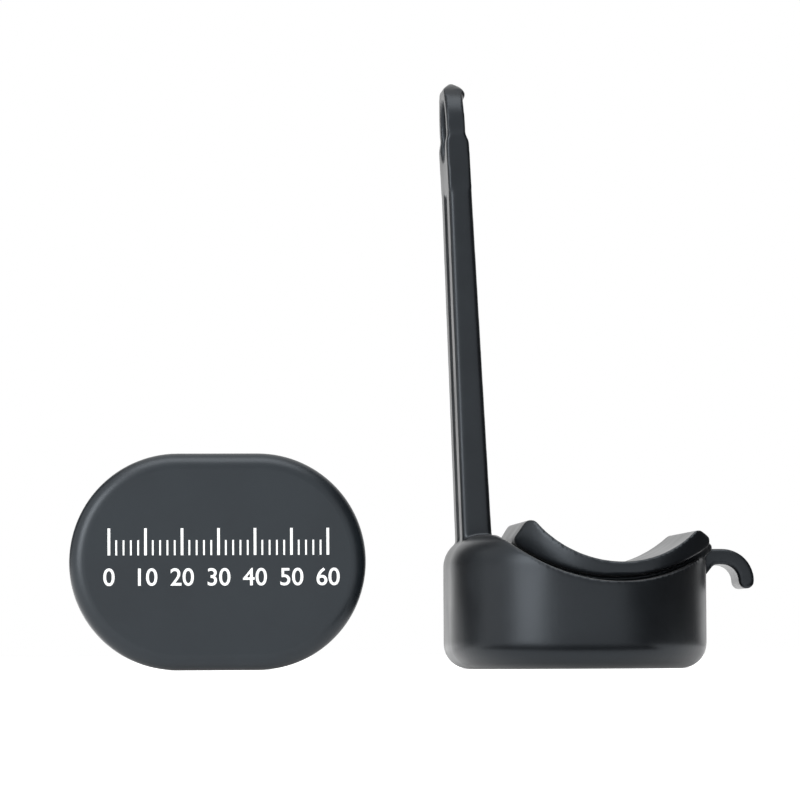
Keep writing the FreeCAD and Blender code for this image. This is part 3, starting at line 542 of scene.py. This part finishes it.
def make_table_finish():
    """Matt white laminate with a faint unevenness, which has a glow only where it is seen."""
    material = new_material("white_table")
    place = add_node(material, "ShaderNodeTexCoord")
    paper = add_node(material, "ShaderNodeTexNoise", {"Scale": per_size(40), "Detail": 3},
                     Vector=(place, "Object"))
    tone = add_node(material, "ShaderNodeValToRGB", Fac=(paper, "Fac"),
                    stops=zip(NOISE_RANGE, ("#F2F2F2", "#F6F6F6")))
    shown = add_node(material, "ShaderNodeMapRange", {"To Min": 0.0, "To Max": SHOWN_WHITE},
                     Value=(seen_directly(material), "Value"))
    shader = add_node(material, "ShaderNodeBsdfPrincipled", {"Roughness": 0.9},
                      Base_Color=(tone, "Color"), Emission_Color=(tone, "Color"),
                      Emission_Strength=(shown, "Result"))
    add_node(material, "ShaderNodeOutputMaterial", Surface=(shader, "BSDF"))
    return material


def make_floor():
    low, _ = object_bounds()
    height = low.z - TABLE_DROP
    corners = [(x * TABLE_REACH, y * TABLE_REACH, height)
               for x, y in ((-1, -1), (1, -1), (1, 1), (-1, 1))]
    mesh = bpy.data.meshes.new("table_top")
    mesh.from_pydata(corners, [], [(0, 1, 2, 3)])
    floor = bpy.data.objects.new("table_top", mesh)
    bpy.context.scene.collection.objects.link(floor)
    mesh.materials.append(make_table_finish())
    floor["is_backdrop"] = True
    return height


def make_world():
    world = bpy.data.worlds.new("studio")
    bpy.context.scene.world = world
    world.use_nodes = True
    world.node_tree.nodes.clear()
    strength = add_node(world, "ShaderNodeMapRange", {"To Min": ROOM_LIGHT, "To Max": 1.0},
                        Value=(seen_directly(world), "Value"))
    light = add_node(world, "ShaderNodeBackground", {"Color": (1, 1, 1, 1)},
                     Strength=(strength, "Result"))
    add_node(world, "ShaderNodeOutputWorld", Surface=(light, "Background"))


print("table top at", round(make_floor() / MM, 3), "mm")
make_world()

# %% [markdown]
# ## Black cards for the reflections
# In a white room a black satin thing turns grey all over, because it mirrors the room. A
# studio stands black cards beside it, out of the camera's sight, so that its sides fall back
# to black and its shape can be read. These cards are upright strips and low trays bent round the
# mount. Only mirror rays see them, so they cast no shadow on the table and take no light away.

# %% Black cards
CARD_STEPS = 12          # flat strips that make up a bent card
MOUNT_MIDDLE = Vector((20.7 * MM, 0, 0))
# name, azimuths in degrees, nearest and farthest reach, and the heights there
CARDS = (
    ("flag_right", (38, 130), (0.5, 0.5), (2 * MM, 0.6)),
    ("flag_low_right", (34, 125), (34 * MM, 0.5), (1 * MM, 2 * MM)),
    ("flag_back_left", (-152, -118), (0.5, 0.5), (2 * MM, 0.6)),
    ("flag_low_front", (-60, 34), (23.5 * MM, 33 * MM), (0.5 * MM, 1 * MM)),
)
# flock is a felt of short fibres that swallows nearly all light
flock = make_speckled("black_flock_card", "#050505", "#0A0A0A", 2.0, 0.9, 1.0)


def toward(azimuth, elevation):
    """A unit vector. Azimuth 0 is the camera's side, + is right."""
    turn, rise = math.radians(azimuth), math.radians(elevation)
    return Vector((math.sin(turn) * math.cos(rise), -math.cos(turn) * math.cos(rise),
                   math.sin(rise)))


def add_card(name, azimuths, reaches, heights):
    """A card bent round the mount, upright where its two reaches are the same, else a tray."""
    start, end = azimuths
    corners = []
    for step in range(CARD_STEPS + 1):
        turn = start + (end - start) * step / CARD_STEPS
        for reach, height in zip(reaches, heights):
            point = MOUNT_MIDDLE + toward(turn, 0) * reach
            corners.append((point.x, point.y, height))
    faces = [(2 * n, 2 * n + 2, 2 * n + 3, 2 * n + 1) for n in range(CARD_STEPS)]
    mesh = bpy.data.meshes.new(name)
    mesh.from_pydata(corners, [], faces)
    mesh.materials.append(flock)
    card = bpy.data.objects.new(name, mesh)
    bpy.context.scene.collection.objects.link(card)
    card.visible_camera = False
    card.visible_diffuse = False
    card.visible_shadow = False
    card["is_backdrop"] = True


for card_row in CARDS:
    add_card(*card_row)
print("stood up", len(CARDS), "black cards")

# %% [markdown]
# ## Lamps
# Two soft boxes add what the even room lacks. A tall strip at the left draws the upright
# highlight on the round wall of the cup, and a wide box overhead lights the shoulders and
# gives the short soft shadow on the table.


# %% Lamps
def soft_box(name, target, azimuth, elevation, distance, wide, tall, watts):
    """A soft box: a rectangular lamp that looks at a point. Sizes are in metres."""
    away = toward(azimuth, elevation)
    data = bpy.data.lights.new(name, "AREA")
    data.shape = "RECTANGLE"
    data.size = wide
    data.size_y = tall
    data.energy = watts
    lamp = bpy.data.objects.new(name, data)
    bpy.context.scene.collection.objects.link(lamp)
    lamp.location = target + away * distance
    lamp.rotation_euler = (-away).to_track_quat("-Z", "Y").to_euler()


low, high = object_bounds()
middle = (low + high) / 2
soft_box("strip_left", middle, azimuth=-48, elevation=8, distance=0.7,
         wide=0.34, tall=0.8, watts=5.5)
soft_box("over_top", middle, azimuth=-10, elevation=70, distance=0.8,
         wide=0.8, tall=0.5, watts=4.0)
print("both look at, in mm:", [round(value / MM, 1) for value in middle])

# %% [markdown]
# ## Camera
# A long lens from 60 cm away gives the flat look of a catalogue page. It stands a little left
# of the middle and just above the table, so both things are seen square on, with a glimpse of
# the strap's side and none of the table's far edge.

# %% Camera
SENSOR, LENS = 36, 212.6                      # millimetres
EYE = Vector((-45.6 * MM, -600 * MM, 2 * MM))
YAW, PITCH, ROLL = 0.0736, 0.0536, -0.005     # radians: to the right, up, clockwise

camera_data = bpy.data.cameras.new("catalogue_lens")
camera_data.sensor_width = SENSOR
camera_data.lens = LENS
camera_data.clip_start = 0.01
camera_data.clip_end = 20
camera = bpy.data.objects.new("catalogue_lens", camera_data)
bpy.context.scene.collection.objects.link(camera)
camera.matrix_world = (
    Matrix.Translation(EYE)
    @ Matrix.Rotation(-YAW, 4, "Z")
    @ Matrix.Rotation(math.pi / 2 + PITCH, 4, "X")
    @ Matrix.Rotation(ROLL, 4, "Z"))
bpy.context.scene.camera = camera
bpy.context.scene.view_settings.view_transform = "Standard"
print("the lens covers", round(2 * math.degrees(math.atan(SENSOR / 2 / LENS)), 2), "degrees")
